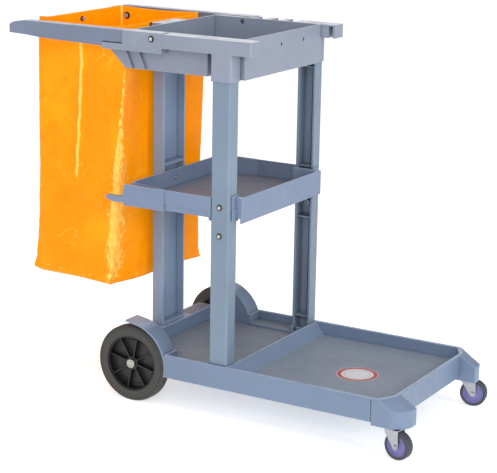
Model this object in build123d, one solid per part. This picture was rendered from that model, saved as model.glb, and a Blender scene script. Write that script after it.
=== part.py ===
"""Housekeeping cart: moulded base with a bucket platform, three uprights, middle shelf, top tray,
two handle arms that carry an open vinyl waste bag, two fixed-axle rear wheels and two swivel casters.

Millimetres.  +X runs from the handles to the platform, +Z is up, and Z = 0 is the floor.
The origin is on the floor under the middle of the cart.  "Right" is the -Y side, as seen by
a person who pushes the cart by its handles.
"""

from build123d import *
import math
import os

os.makedirs("parts", exist_ok=True)

# ---------------------------------------------------------------- driving dimensions
# base
HALF_WIDTH = 243.0          # outer face of the side rails
POD_BOTTOM = 77.0
RAIL_BOTTOM = 85.0
RIM_TOP = 145.0
RIM = 9.0                   # thickness of the rim wall
SKIRT_WALL = 6.0            # thickness of the wall below the floors
PLATFORM_FLOOR = 111.0
REAR_FLOOR = 115.0
FLOOR_THICK = 4.5
PLATFORM_END = 532.0        # outer face of the platform's end wall
POD_END = 577.0             # outermost point of the caster pods
POD_START = 488.0
POD_INNER = 178.0           # |Y| of the pods' inner faces
POD_CORNER_R = 38.0
POD_SHOULDER = 118.0        # height where the pods start to slope in towards the rim
LABEL_X = 333.9
LABEL_Y = -13.3
LABEL_R = 53.5
LABEL_DEPTH = 0.5           # depth of the label's seat in the floor
REAR_WALL = -224.0          # inner face of the wall behind the rear deck
LEDGE_END = -273.0
LEDGE_TOP = 151.5

# wheels
WHEEL_X = -211.5
WHEEL_R = 101.5
WHEEL_FACE = 238.0          # |Y| of the tyre's outer face
TYRE_WIDTH = 32.0
HUB_R = 73.8
AXLE_R = 6.0
AXLE_END = 238.0
WHEEL_INNER = WHEEL_FACE - TYRE_WIDTH
ARCH_Z = 106.0              # height of the wheel arch's own centre
ARCH_IN = 105.0             # wheel arch radii
ARCH_OUT = 109.0
ARCH_TURN = 80.0            # angle from +X where the arch runs out into a straight flap
ARCH_TIP = -224.4           # rear end of the flap
HOUSING_FACE = 191.6        # |Y| of the face that closes the wheel arch on its inner side
HOUSING_WALL = 4.0

# posts
POST_FRONT = 76.8
POST_WIDTH = 51.8
POST_OUT = 235.0
POST_IN = 196.5
POST_WALL = 5.5
POST_FOOT = 104.5
POST_TOP = 905.0
POST_SCREW_X = 51.0
POST_SCREW_Z = (479.3, 551.9)
UPRIGHT_FRONT = -234.6
UPRIGHT_REAR = -269.2
UPRIGHT_HALF = 52.0
UPRIGHT_TOP = 945.0

# middle shelf
SHELF_TOP = 575.0
SHELF_FLOOR = 529.0
SHELF_BOTTOM = 523.0
SHELF_OUT = 235.0
SHELF_REAR = -234.2
SHELF_FRONT = 96.8
SHELF_WALL = 4.2
SHELF_STEP = -112.5         # where the thicker rear half of the side walls ends
SHELF_TAPER = 199.0         # |Y| of the tapering inner walls at the rear wall

# top tray
TRAY_TOP = 965.0
TRAY_BOTTOM = 865.5
TRAY_FLOOR = 870.0
TRAY_BODY = 192.0           # |Y| of the body walls' outer faces
TRAY_SKIRT = 237.8          # |Y| of the outer skirt
TRAY_REAR = -234.2
TRAY_FRONT = 92.8
TRAY_WALL = 4.0
SKIRT_BOTTOM = 930.0
BLOCK_FRONT = -121.0        # arm socket blocks
BLOCK_REAR = -236.5
BLOCK_BOTTOM = 916.8
BLOCK_TOP = 967.0
LIP_REAR = -298.5
LIP_TOP = 935.0
HOOK_END = 134.0
HOOK_BOTTOM = 930.5

WALL_HOLE_Y = (-16.0, 97.0)  # holes for a hook or a bracket in the tray's front wall
WALL_HOLE_Z = 936.0
WALL_HOLE_R = 4.5
ARM_GAP = 2.2               # open joint between the arms and the tray
ARM_SCREW_X = -149.7
ARM_SCREW_Z = 951.6

# handle arms, crossbar and bag
ARM_OUT = 236.5
ARM_IN = 208.5
ARM_TIP = -592.2
ARM_TOP = 967.5
CROSSBAR_X = -543.5
CROSSBAR_Z = 950.0
CROSSBAR_R = 6.0
BAG_TOP = 969.0
BAG_WALL = 2.0
BAG_HALF = 187.5
BAG_REAR = -535.5
BAG_FRONT = -281.0
BAG_FLOOR = 287.0
BAG_SHOULDER = 850.0        # height where the front corners stand furthest forward
BAG_SHOULDER_FRONT = (-263.0, -256.0)   # X of the right and left front corners there
PEG_R = 3.6
PEG_HEAD_R = 6.5
EYELET_R = 10.5
SMALL_PEG_HEAD_R = 5.2      # pegs and eyelets of the front and rear walls
SMALL_EYELET_R = 7.4
SIDE_PEG_X = -515.2
SIDE_PEG_Z = 943.0
FRONT_PEG_Y = 44.0
FRONT_PEG_Z = 957.0

# casters
CASTER_X = 539.8
CASTER_Y = 223.0
CASTER_TRAIL = 16.0
CASTER_R = 35.0
CASTER_WIDTH = 24.0
FORK_IN = 13.6
FORK_OUT = 16.0
CROWN_TOP = 75.4
CROWN_LOW = 72.8
CASTER_SWIVEL = {"right": -9.0, "left": 12.0}    # degrees about +Z, in the parked position

SCREW_HEAD_R = 8.0
SCREW_SHANK_R = 2.6


# ---------------------------------------------------------------- helpers
def block(x, y, z):
    """Box between pairs of coordinates."""
    size = [abs(b - a) for a, b in (x, y, z)]
    middle = [(a + b) / 2 for a, b in (x, y, z)]
    return Pos(*middle) * Box(*size)


def pair(shape):
    """A shape and its mirror image on the other side of the cart, as one shape."""
    return shape + mirror(shape, about=Plane.XZ)


def rod(radius, x, z, y0, y1):
    """Cylinder along Y."""
    return Pos(x, (y0 + y1) / 2, z) * Rot(90, 0, 0) * Cylinder(radius, abs(y1 - y0))


def rod_x(radius, y, z, x0, x1):
    """Cylinder along X."""
    return Pos((x0 + x1) / 2, y, z) * Rot(0, 90, 0) * Cylinder(radius, abs(x1 - x0))


def prism_y(points, y0, y1):
    """Polygon given as (x, z), extruded along Y."""
    face = make_face(Polyline(*[(x, y0, z) for x, z in points], close=True))
    return extrude(face, amount=y1 - y0, dir=(0, 1, 0))


def prism_z(points, z0, z1):
    """Polygon given as (x, y), extruded upwards."""
    face = make_face(Polyline(*[(x, y, z0) for x, y in points], close=True))
    return extrude(face, amount=z1 - z0, dir=(0, 0, 1))


def upright_edges(shape, x=None, y=None):
    """Vertical edges of a shape whose middle lies at the given x and y."""
    edges = shape.edges().filter_by(Axis.Z)
    if x is not None:
        edges = edges.filter_by(lambda e: abs(e.center().X - x) < 0.01)
    if y is not None:
        edges = edges.filter_by(lambda e: abs(abs(e.center().Y) - y) < 0.01)
    return edges


def save(name, shape):
    """Write one sub-part; a group of identical pieces is kept as separate solids."""
    solids = shape.solids()
    export_step(solids[0] if len(solids) == 1 else Compound(children=list(solids)), f"parts/{name}.step")


def place(side):
    """+1 for the left (+Y) side, -1 for the right (-Y) side."""
    return 1 if side == "left" else -1


def on_side(shape, side):
    """A shape drawn on the right (-Y) side, kept there or mirrored to the left."""
    return shape if side == "right" else mirror(shape, about=Plane.XZ)


# ---------------------------------------------------------------- base
def base_pod():
    """Right-hand caster pod: a deep round-cornered boss that slopes in to the rim above its shoulder."""
    corner = 29.0
    low = [(POD_START, -HALF_WIDTH), (POD_END - corner, -HALF_WIDTH), (POD_END, -HALF_WIDTH + corner),
           (POD_END, -POD_INNER), (POD_START, -POD_INNER)]
    high = [(POD_START, -HALF_WIDTH), (PLATFORM_END - 25, -HALF_WIDTH), (PLATFORM_END, -HALF_WIDTH + 46),
            (PLATFORM_END, -POD_INNER), (POD_START, -POD_INNER)]
    outline = prism_z(low, POD_BOTTOM, RIM_TOP)
    outline = fillet(upright_edges(outline, x=POD_END - corner)
                     + upright_edges(outline, x=POD_END, y=HALF_WIDTH - corner), POD_CORNER_R)
    bottom_face = make_face(Polyline(*[(x, y, POD_SHOULDER) for x, y in low], close=True))
    top_face = make_face(Polyline(*[(x, y, RIM_TOP) for x, y in high], close=True))
    upper = loft([bottom_face, top_face], ruled=True)
    return (prism_z(low, POD_BOTTOM, POD_SHOULDER) + upper) & outline


def base_outline():
    """Outer solid of the moulding before any hollow is cut."""
    rail_start = WHEEL_X + ARCH_OUT - 4
    main = block((rail_start, PLATFORM_END), (-HALF_WIDTH, HALF_WIDTH), (RAIL_BOTTOM, RIM_TOP))
    corner = prism_z([(PLATFORM_END - 25, -HALF_WIDTH), (PLATFORM_END + 1, -HALF_WIDTH - 1),
                      (PLATFORM_END + 1, -HALF_WIDTH + 46)], RAIL_BOTTOM - 1, RIM_TOP + 1)
    groove = block((POD_START - 3.2, POD_START - 0.6), (-HALF_WIDTH - 1, -HALF_WIDTH + 2.6),
                   (RAIL_BOTTOM - 1, RIM_TOP - 4))
    main = main - pair(corner) + pair(base_pod()) - pair(groove)
    rear = block((LEDGE_END, rail_start + 1), (-HOUSING_FACE, HOUSING_FACE), (RAIL_BOTTOM, RIM_TOP))
    ledge = block((LEDGE_END, REAR_WALL), (-HOUSING_FACE, HOUSING_FACE), (RAIL_BOTTOM, LEDGE_TOP))
    return main + rear + ledge


def base_arches():
    """Wheel arch strips over both wheels, each closed by a wall on its inner side."""
    inner = HOUSING_FACE - HOUSING_WALL
    turn = math.radians(ARCH_TURN)
    reach = 2 * ARCH_OUT
    front_part = prism_y([(WHEEL_X, ARCH_Z), (WHEEL_X + reach, ARCH_Z - 26 / ARCH_OUT * reach),
                          (WHEEL_X + reach, ARCH_Z + reach),
                          (WHEEL_X + reach * math.cos(turn), ARCH_Z + reach * math.sin(turn))],
                         -HALF_WIDTH, -inner)
    strip = rod(ARCH_OUT, WHEEL_X, ARCH_Z, -HALF_WIDTH, -inner)
    strip = strip - rod(ARCH_IN, WHEEL_X, ARCH_Z, -HALF_WIDTH - 1, -inner + 1)
    strip = (strip & front_part) & block((LEDGE_END, 0), (-HALF_WIDTH, 0), (RAIL_BOTTOM, 300))

    bend_x = WHEEL_X + ARCH_OUT * math.cos(turn)
    bend_z = ARCH_Z + ARCH_OUT * math.sin(turn)
    slope = 1 / math.tan(turn)
    tip_z = bend_z + (bend_x - ARCH_TIP) * slope
    thick = ARCH_OUT - ARCH_IN
    flap = prism_y([(bend_x + 1, bend_z - 0.3), (ARCH_TIP, tip_z), (ARCH_TIP, tip_z - thick),
                    (bend_x + 1, bend_z - thick - 0.3)], -HALF_WIDTH, -inner)
    wall = rod(ARCH_OUT, WHEEL_X, ARCH_Z, -HOUSING_FACE, -inner)
    wall = wall & block((bend_x, 0), (-HALF_WIDTH, 0), (RAIL_BOTTOM, 300))
    wall = wall + prism_y([(bend_x + 1, bend_z - 1), (ARCH_TIP, tip_z - 1), (ARCH_TIP, REAR_FLOOR),
                           (bend_x + 1, REAR_FLOOR)], -HOUSING_FACE, -inner)
    line = rod(ARCH_OUT - 9, WHEEL_X, ARCH_Z, -inner - 1.2, -inner + 1)
    line = line - rod(ARCH_OUT - 12, WHEEL_X, ARCH_Z, -inner - 2, -inner + 2)
    line = line & block((REAR_WALL, 0), (-HALF_WIDTH, 0), (REAR_FLOOR + 4, 300))
    return pair(strip + flap + wall - line)


def base_top_pockets():
    """Recessed platform and rear deck, with the cross rib left standing between them."""
    rib_back = POST_FRONT + 5
    end_in = PLATFORM_END - RIM
    profile = prism_y([(rib_back, RIM_TOP + 1), (rib_back, RIM_TOP), (POST_FRONT + 29, PLATFORM_FLOOR),
                       (end_in, PLATFORM_FLOOR), (end_in, RIM_TOP + 1)], -HALF_WIDTH, HALF_WIDTH)
    inner = HALF_WIDTH - RIM
    plan = prism_z([(0, -inner), (end_in - 24, -inner), (end_in, -inner + 42),
                    (end_in, inner - 42), (end_in - 24, inner), (0, inner)], 0, 200)
    platform = profile & plan
    housing = HOUSING_FACE - HOUSING_WALL
    arch_front = WHEEL_X + ARCH_OUT + 3
    deck = block((REAR_WALL, arch_front), (-housing, housing), (REAR_FLOOR, 300))
    deck = deck + block((arch_front - 1, POST_FRONT), (-184, 184), (REAR_FLOOR, 300))
    deck = deck + block((arch_front - 1, POST_FRONT), (-HALF_WIDTH + RIM, HALF_WIDTH - RIM),
                        (REAR_FLOOR + 7, 300))
    return platform + deck


def base_underside():
    """Hollow below the floors, with stiffening ribs and solid axle and post seats left in place."""
    platform = block((POST_FRONT + 35, POD_START - 8), (-HALF_WIDTH + SKIRT_WALL, HALF_WIDTH - SKIRT_WALL),
                     (0, PLATFORM_FLOOR - FLOOR_THICK))
    platform = platform + block((POD_START - 9, PLATFORM_END - SKIRT_WALL), (-POD_INNER + SKIRT_WALL,
                                POD_INNER - SKIRT_WALL), (0, PLATFORM_FLOOR - FLOOR_THICK))
    housing = HOUSING_FACE - HOUSING_WALL
    arch_front = WHEEL_X + ARCH_OUT + 6
    rear = block((REAR_WALL + 2, 14), (-housing, housing), (0, REAR_FLOOR - FLOOR_THICK))
    rear = rear + block((arch_front, 14), (-HALF_WIDTH + SKIRT_WALL, HALF_WIDTH - SKIRT_WALL),
                        (0, REAR_FLOOR - FLOOR_THICK))
    rear = rear + block((13, POST_FRONT - 2), (-184, 184), (0, REAR_FLOOR - FLOOR_THICK))
    ledge = block((LEDGE_END + SKIRT_WALL, REAR_WALL - SKIRT_WALL), (-housing, housing), (0, LEDGE_TOP - 6))
    ribs = None
    for x in (200, 310, 420):
        bar = block((x - 2, x + 2), (-HALF_WIDTH + 5, HALF_WIDTH - 5), (RAIL_BOTTOM + 4, PLATFORM_FLOOR))
        ribs = bar if ribs is None else ribs + bar
    for y in (-120, 0, 120):
        ribs = ribs + block((POST_FRONT + 30, PLATFORM_END - 4), (y - 2, y + 2), (RAIL_BOTTOM + 4,
                                                                                  PLATFORM_FLOOR))
        ribs = ribs + block((REAR_WALL, POST_FRONT), (y - 2, y + 2), (RAIL_BOTTOM + 4, REAR_FLOOR))
    ribs = ribs + block((-60, -56), (-HALF_WIDTH + 5, HALF_WIDTH - 5), (RAIL_BOTTOM + 4, REAR_FLOOR))
    return platform + rear + ledge - ribs


def base_post_seat():
    """Right-hand socket that a front post stands in, with a slotted wall on its inner side."""
    seat = block((POST_FRONT - POST_WIDTH - 5, POST_FRONT + 4), (-HALF_WIDTH + 1, -POST_IN + 8),
                 (RAIL_BOTTOM, 134))
    slots = block((POST_FRONT - 44, POST_FRONT - 36), (-POST_IN - 1, -POST_IN + 9), (REAR_FLOOR + 3, 135))
    slots = slots + block((POST_FRONT - 16, POST_FRONT - 8), (-POST_IN - 1, -POST_IN + 9),
                          (REAR_FLOOR + 3, 135))
    return seat - slots


def base():
    """The one-piece moulded base."""
    wheel_wells = pair(rod(ARCH_IN, WHEEL_X, ARCH_Z, -HALF_WIDTH - 5, -HOUSING_FACE))
    body = base_outline() - base_top_pockets() - base_underside() - wheel_wells
    body = body + base_arches() + pair(base_post_seat())
    gap = 0.25
    post_hole = block((POST_FRONT - POST_WIDTH - gap, POST_FRONT + gap), (-POST_OUT - gap, -POST_IN + gap),
                      (POST_FOOT, 300))
    axle_seat = block((WHEEL_X - 14, WHEEL_X + 14), (-HOUSING_FACE + 1, -HOUSING_FACE + 24),
                      (RAIL_BOTTOM, REAR_FLOOR - 1))
    body = body - pair(post_hole) + pair(axle_seat)
    body = body - rod(AXLE_R + 0.1, WHEEL_X, WHEEL_R, -HALF_WIDTH, HALF_WIDTH)
    stem_hole = Pos(CASTER_X, -CASTER_Y, 100) * Cylinder(5.6, 60)
    stem_hole = stem_hole & block((0, 700), (-400, 0), (POD_BOTTOM - 5, 124))
    head_hole = Pos(CASTER_X, -CASTER_Y, POD_BOTTOM + 2) * Cylinder(17.6, 8)
    ledge_ribs = None
    for i in range(11):
        y = HOUSING_FACE - 12 - i * 9
        groove = block((LEDGE_END + 6, REAR_WALL - 6), (y - 1.6, y + 1.6), (LEDGE_TOP - 1.2, LEDGE_TOP + 1))
        ledge_ribs = groove if ledge_ribs is None else ledge_ribs + groove
    body = body - pair(stem_hole + head_hole) - pair(ledge_ribs)
    for y in (-30, 30):
        body = body - Pos((UPRIGHT_FRONT + UPRIGHT_REAR) / 2, y,
                          LEDGE_TOP) * Cylinder(SCREW_SHANK_R + 0.2, 30)
    return body - Pos(LABEL_X, LABEL_Y, PLATFORM_FLOOR) * Cylinder(LABEL_R + 0.2, 2 * LABEL_DEPTH)


def platform_label():
    """Thin round label, let into the bucket platform."""
    middle_z = PLATFORM_FLOOR - LABEL_DEPTH / 2 - 0.02
    return Pos(LABEL_X, LABEL_Y, middle_z) * Cylinder(LABEL_R, LABEL_DEPTH - 0.04)


# ---------------------------------------------------------------- uprights
def front_post():
    """Right-hand front post: channel section, open towards the middle of the cart."""
    rear = POST_FRONT - POST_WIDTH
    post = block((rear, POST_FRONT), (-POST_OUT, -POST_IN), (POST_FOOT, POST_TOP))
    post = fillet(upright_edges(post, y=POST_OUT), 5)
    post = post - block((rear + POST_WALL, POST_FRONT - POST_WALL), (-POST_OUT + POST_WALL, -POST_IN + 1),
                        (POST_FOOT - 1, POST_TOP + 1))
    for z in (112, 165, 443, 522, 583, 850, 899):
        post = post + block((rear + 2, POST_FRONT - 2), (-POST_OUT + 2, -POST_IN - 4), (z - 1.5, z + 1.5))
    for z in POST_SCREW_Z:
        post = post + rod(8, POST_SCREW_X, z, -POST_OUT + 2, -POST_OUT + 19)
    post = post + block((POST_SCREW_X - 1.5, POST_SCREW_X + 1.5), (-POST_OUT + 2, -POST_OUT + 10),
                        (165, 443))
    post = post + block((POST_SCREW_X - 1.5, POST_SCREW_X + 1.5), (-POST_OUT + 2, -POST_OUT + 10),
                        (583, 850))
    for z in POST_SCREW_Z:
        post = post - rod(SCREW_SHANK_R + 0.1, POST_SCREW_X, z, -POST_OUT - 1, -POST_OUT + 21)
    return post


def rear_upright():
    """Wide central upright behind the shelf and the tray: channel section, open towards the platform."""
    post = block((UPRIGHT_REAR, UPRIGHT_FRONT), (-UPRIGHT_HALF, UPRIGHT_HALF), (LEDGE_TOP, UPRIGHT_TOP))
    post = fillet(upright_edges(post), 3)
    inner = UPRIGHT_HALF - 6
    for low, high in ((LEDGE_TOP + 8, 505), (511, 589), (597, UPRIGHT_TOP - 8)):
        post = post - block((UPRIGHT_REAR + 12, UPRIGHT_FRONT + 1), (-inner, inner), (low, high))
    post = post + rod_x(8, 0, 552, UPRIGHT_REAR + 8, UPRIGHT_FRONT)
    post = post - rod_x(SCREW_SHANK_R + 0.1, 0, 552, UPRIGHT_REAR + 4, UPRIGHT_FRONT + 2)
    for y in (-30, 30):
        post = post - Pos((UPRIGHT_FRONT + UPRIGHT_REAR) / 2, y,
                          LEDGE_TOP) * Cylinder(SCREW_SHANK_R + 0.1, 15.8)
    return post


# ---------------------------------------------------------------- middle shelf
def shelf_collar():
    """Right-hand seat that wraps three sides of the front post below the shelf's rim."""
    gap = 0.3
    rear = POST_FRONT - POST_WIDTH
    walls = block((rear - gap - 5.5, rear - gap), (-SHELF_OUT, -POST_IN + 5), (515.5, SHELF_TOP))
    walls = walls + block((rear - gap - 5, POST_FRONT + gap + 2.5), (-POST_IN + gap, -POST_IN + gap + 4),
                          (515.5, SHELF_TOP + 2))
    walls = walls + block((POST_FRONT + gap, POST_FRONT + gap + 2.5), (-223, -POST_IN + 4),
                          (520.5, SHELF_TOP + 6))
    walls = walls + block((POST_FRONT + gap, POST_FRONT + gap + 4.0), (-223, -POST_IN + 4), (520.5, 547))
    return walls


def shelf_side_hook():
    """Right-hand tongue behind the shelf that keeps broom handles in place."""
    tongue = prism_y([(SHELF_REAR + 2, 527), (-268, 527), (-284, 530.5), (-288.5, 535), (-288.5, 541),
                      (-285, 543), (-240, 543), (-237, 553), (SHELF_REAR + 2,
                                                              553)], -SHELF_OUT - 2.6, -SHELF_OUT + 9)
    return tongue


def middle_shelf():
    """Shelf tray with seats round the two front posts."""
    rear_top = block((SHELF_REAR, SHELF_FRONT), (-205, 205), (SHELF_BOTTOM, SHELF_TOP))
    wide = block((SHELF_REAR, POST_FRONT - POST_WIDTH - 5), (-SHELF_OUT, SHELF_OUT), (SHELF_BOTTOM,
                                                                                      SHELF_TOP))
    thick = block((SHELF_REAR, SHELF_STEP), (-SHELF_OUT - 2.6, SHELF_OUT + 2.6), (SHELF_BOTTOM - 2,
                                                                                  SHELF_TOP))
    front_apron = block((SHELF_FRONT - SHELF_WALL, SHELF_FRONT), (-205, 205), (511, SHELF_TOP))
    body = rear_top + wide + thick + front_apron
    inner = SHELF_OUT - SHELF_WALL
    seat_rear = POST_FRONT - POST_WIDTH - 6
    hollow = block((SHELF_REAR + SHELF_WALL, seat_rear), (-inner, inner), (SHELF_FLOOR, 700))
    hollow = hollow + block((seat_rear - 1, SHELF_FRONT - SHELF_WALL), (-POST_IN + 8, POST_IN - 8),
                            (SHELF_FLOOR, 700))
    below = block((SHELF_REAR + SHELF_WALL, seat_rear), (-inner, inner), (400, SHELF_FLOOR - 4))
    below = below + block((seat_rear - 1, SHELF_FRONT - SHELF_WALL), (-POST_IN + 8, POST_IN - 8),
                          (400, SHELF_FLOOR - 4))
    body = body - hollow - below
    gap = 0.3
    post_space = block((POST_FRONT - POST_WIDTH - gap, POST_FRONT + gap), (-SHELF_OUT - 9,
                                                                           -POST_IN + gap), (400, 700))
    corner_space = block((POST_FRONT - 1, SHELF_FRONT + 1), (-SHELF_OUT - 9, -205), (400, 700))
    body = body - pair(post_space) - pair(corner_space)
    recess = block((SHELF_STEP, POST_FRONT - POST_WIDTH - 8), (-SHELF_OUT - 1, -SHELF_OUT + 1.6),
                   (500, 538))
    body = body - pair(recess)
    taper_rear = SHELF_REAR + 1
    taper = prism_z([(taper_rear, -SHELF_TAPER), (SHELF_STEP, -inner + 1.5), (SHELF_STEP, -inner - 1.5),
                     (taper_rear, -SHELF_TAPER - 3.2)], SHELF_FLOOR - 1, SHELF_TOP)
    corner_pocket = block((SHELF_REAR - 1, SHELF_REAR + SHELF_WALL + 1), (-inner, -SHELF_TAPER - 3.2),
                          (SHELF_FLOOR, SHELF_TOP + 1))
    body = body - pair(corner_pocket) + pair(taper)
    for x in (-150, -80, -10):
        body = body + block((x - 1.5, x + 1.5), (-inner - 1, inner + 1), (SHELF_BOTTOM, SHELF_FLOOR - 2))
    body = body + pair(shelf_collar()) + pair(shelf_side_hook())
    body = body - pair(rod(SCREW_SHANK_R + 0.1, POST_SCREW_X, POST_SCREW_Z[1], -SHELF_OUT, -POST_IN + 20))
    body = body - rod_x(SCREW_SHANK_R + 0.1, 0, 552, SHELF_REAR - 5, SHELF_REAR + 10)
    return body


# ---------------------------------------------------------------- top tray
def tray_side():
    """Right-hand flange, skirt, arm socket block, post column and hook block."""
    rear = POST_FRONT - POST_WIDTH
    flange = block((BLOCK_REAR + 2, HOOK_END - 4), (-TRAY_SKIRT, -TRAY_BODY + 2), (TRAY_TOP - 4, TRAY_TOP))
    skirt = block((BLOCK_FRONT - 2, rear), (-TRAY_SKIRT, -TRAY_SKIRT + 4), (SKIRT_BOTTOM, TRAY_TOP))
    socket = block((BLOCK_REAR, BLOCK_FRONT), (-TRAY_SKIRT - 1.2, -ARM_IN + 4.5), (BLOCK_BOTTOM, BLOCK_TOP))
    lip = block((LIP_REAR, BLOCK_REAR + 1), (-TRAY_SKIRT - 1.2, -ARM_IN + 4.5), (BLOCK_BOTTOM,
                                                                                 LIP_TOP - ARM_GAP))
    web = block((BLOCK_REAR, BLOCK_FRONT), (-ARM_IN + 1, -TRAY_BODY + 2), (TRAY_TOP - 10, TRAY_TOP))
    column = block((rear - 3.2, POST_FRONT + 3.2), (-TRAY_SKIRT, -POST_IN + 3.2), (TRAY_BOTTOM - 2.5,
                                                                                   TRAY_TOP))
    column = fillet(upright_edges(column, y=TRAY_SKIRT), 4)
    hook = block((POST_FRONT, HOOK_END), (-TRAY_SKIRT, -TRAY_BODY + 1), (HOOK_BOTTOM, TRAY_TOP))
    hook = fillet(upright_edges(hook, x=HOOK_END, y=TRAY_SKIRT), 4)
    side = flange + skirt + socket + lip + web + column + hook
    slot = block((HOOK_END - 20, HOOK_END - 7), (-TRAY_SKIRT + 8, -TRAY_BODY + 5), (HOOK_BOTTOM - 1,
                                                                                    TRAY_TOP - 4))
    core = block((TRAY_FRONT + 3, HOOK_END - 24), (-TRAY_SKIRT + 4, -TRAY_BODY - 3), (HOOK_BOTTOM - 1,
                                                                                      TRAY_TOP - 4))
    return side - slot - core


def tray_end_panel():
    """Right-hand body wall behind the tray, cut off at a slant, with two slanting ribs."""
    panel = prism_y([(TRAY_REAR + 2, TRAY_BOTTOM), (-259.5, TRAY_BOTTOM), (-304.5, 908),
                     (-304.5, BLOCK_BOTTOM + 1), (TRAY_REAR + 2,
                                                  BLOCK_BOTTOM + 1)], -TRAY_BODY, -TRAY_BODY + 3.5)
    shoulder = block((-304.5, TRAY_REAR + 2), (-ARM_IN + 3, -TRAY_BODY + 3.5), (BLOCK_BOTTOM,
                                                                                LIP_TOP - ARM_GAP))
    ribs = prism_y([(-239, TRAY_BOTTOM + 0.5), (-233, TRAY_BOTTOM + 0.5), (-255, BLOCK_BOTTOM + 1),
                    (-261, BLOCK_BOTTOM + 1)], -TRAY_BODY - 8, -TRAY_BODY + 1)
    ribs = ribs + prism_y([(-200, TRAY_BOTTOM + 0.5), (-194, TRAY_BOTTOM + 0.5), (-216, BLOCK_BOTTOM + 1),
                           (-222, BLOCK_BOTTOM + 1)], -TRAY_BODY - 8, -TRAY_BODY + 1)
    return panel + shoulder + ribs


def tray_upright_cap():
    """Box on the tray's rear wall that covers the head of the rear upright."""
    gap = 0.4
    cap = block((UPRIGHT_REAR - 3.5, TRAY_REAR + 2), (-UPRIGHT_HALF - 3.5, UPRIGHT_HALF + 3.5),
                (896, TRAY_TOP))
    cap = fillet(upright_edges(cap, x=UPRIGHT_REAR - 3.5), 4)
    return cap - block((UPRIGHT_REAR - gap, UPRIGHT_FRONT + gap), (-UPRIGHT_HALF - gap, UPRIGHT_HALF + gap),
                       (800, UPRIGHT_TOP + 0.5))


def top_tray():
    """Deep tray with arm sockets, post columns and hook blocks moulded on."""
    body = block((TRAY_REAR, TRAY_FRONT), (-TRAY_BODY, TRAY_BODY), (TRAY_BOTTOM, TRAY_TOP))
    front = block((TRAY_FRONT - TRAY_WALL, TRAY_FRONT), (-194, 194), (TRAY_BOTTOM, TRAY_TOP))
    body = body + front + pair(tray_side()) + pair(tray_end_panel())
    inner = TRAY_BODY - TRAY_WALL
    hollow = block((TRAY_REAR + TRAY_WALL, TRAY_FRONT - TRAY_WALL), (-inner, inner), (TRAY_FLOOR, 1100))
    slot_x = (-15.5, POST_FRONT - POST_WIDTH - 3.2)
    slot_box = block((slot_x[0] - 3, slot_x[1] + 3), (-inner - 1, -162), (TRAY_BOTTOM, SKIRT_BOTTOM + 3))
    body = body - (hollow - pair(slot_box))
    tool_slot = block(slot_x, (-TRAY_BODY - 2, -165), (TRAY_BOTTOM - 1, SKIRT_BOTTOM))
    body = body - pair(tool_slot)
    gap = 0.3
    post_space = block((POST_FRONT - POST_WIDTH - gap, POST_FRONT + gap), (-POST_OUT - gap, -POST_IN + gap),
                       (700, POST_TOP + gap))
    post_space = post_space + block((POST_FRONT - POST_WIDTH + 3, POST_FRONT - 3), (-POST_OUT + 1,
                                                                                    -POST_IN - 1),
                                    (POST_TOP, TRAY_TOP - 4))
    body = body - pair(post_space)
    arm_space = block((LIP_REAR - 5, -128), (-ARM_OUT + 7.8, -ARM_IN + 0.3 - 2.5),
                      (LIP_TOP, ARM_TOP - 3.3))
    body = body - pair(arm_space)
    body = body - pair(rod(SCREW_SHANK_R + 0.2, ARM_SCREW_X, ARM_SCREW_Z, -TRAY_SKIRT - 5, -ARM_OUT + 9))
    notch_top = TRAY_TOP - 4.2
    for x0, x1 in ((-110.5, -80.5), (-61.5, -38.5), (-16.5, 11.5)):
        body = body - block((x0, x1), (TRAY_BODY + 3, TRAY_SKIRT + 1), (notch_top - 4, TRAY_TOP + 1))
    body = body - rod(6.6, -144.5, 953.5, TRAY_BODY - 6, TRAY_BODY + 1)
    for y in WALL_HOLE_Y:
        body = body + rod_x(WALL_HOLE_R + 3, y, WALL_HOLE_Z, TRAY_FRONT - 13, TRAY_FRONT - 2)
    for y in WALL_HOLE_Y:
        body = body - rod_x(WALL_HOLE_R, y, WALL_HOLE_Z, TRAY_FRONT - 15, TRAY_FRONT + 1)
    body = body + tray_upright_cap()
    for y in (-FRONT_PEG_Y, FRONT_PEG_Y):
        body = body - rod_x(PEG_R + 0.05, y, FRONT_PEG_Z, UPRIGHT_REAR - 6, UPRIGHT_REAR + 9)
    return body


# ---------------------------------------------------------------- handle arms and bag
def handle_arm():
    """Right-hand arm: tapering bar whose tenon is held in the tray's socket block."""
    bar = prism_y([(ARM_TIP, 933.4), (ARM_TIP, 954.5), (ARM_TIP + 12, 961.5), (ARM_TIP + 48, ARM_TOP),
                   (BLOCK_REAR - ARM_GAP, ARM_TOP - 0.6), (BLOCK_REAR - ARM_GAP, LIP_TOP + 0.1),
                   (LIP_REAR - 1, LIP_TOP + 0.1),
                   (LIP_REAR - 1, 922.6), (-494, 927.6), (-535, 931.2)], -ARM_OUT, -ARM_IN)
    tenon = block((BLOCK_REAR - 4, -129), (-ARM_OUT + 8.1, -ARM_IN - 2.6), (LIP_TOP + 0.3, ARM_TOP - 3.7))
    arm = bar + tenon
    arm = arm - rod(SCREW_SHANK_R + 0.1, ARM_SCREW_X, ARM_SCREW_Z, -ARM_OUT - 5, -TRAY_SKIRT + 24.5)
    arm = arm - rod(CROSSBAR_R + 0.05, CROSSBAR_X, CROSSBAR_Z, -ARM_OUT + 10, -ARM_IN + 5)
    return arm - rod(PEG_R + 0.05, SIDE_PEG_X, SIDE_PEG_Z, -ARM_OUT + 12, -ARM_IN + 5)


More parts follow.
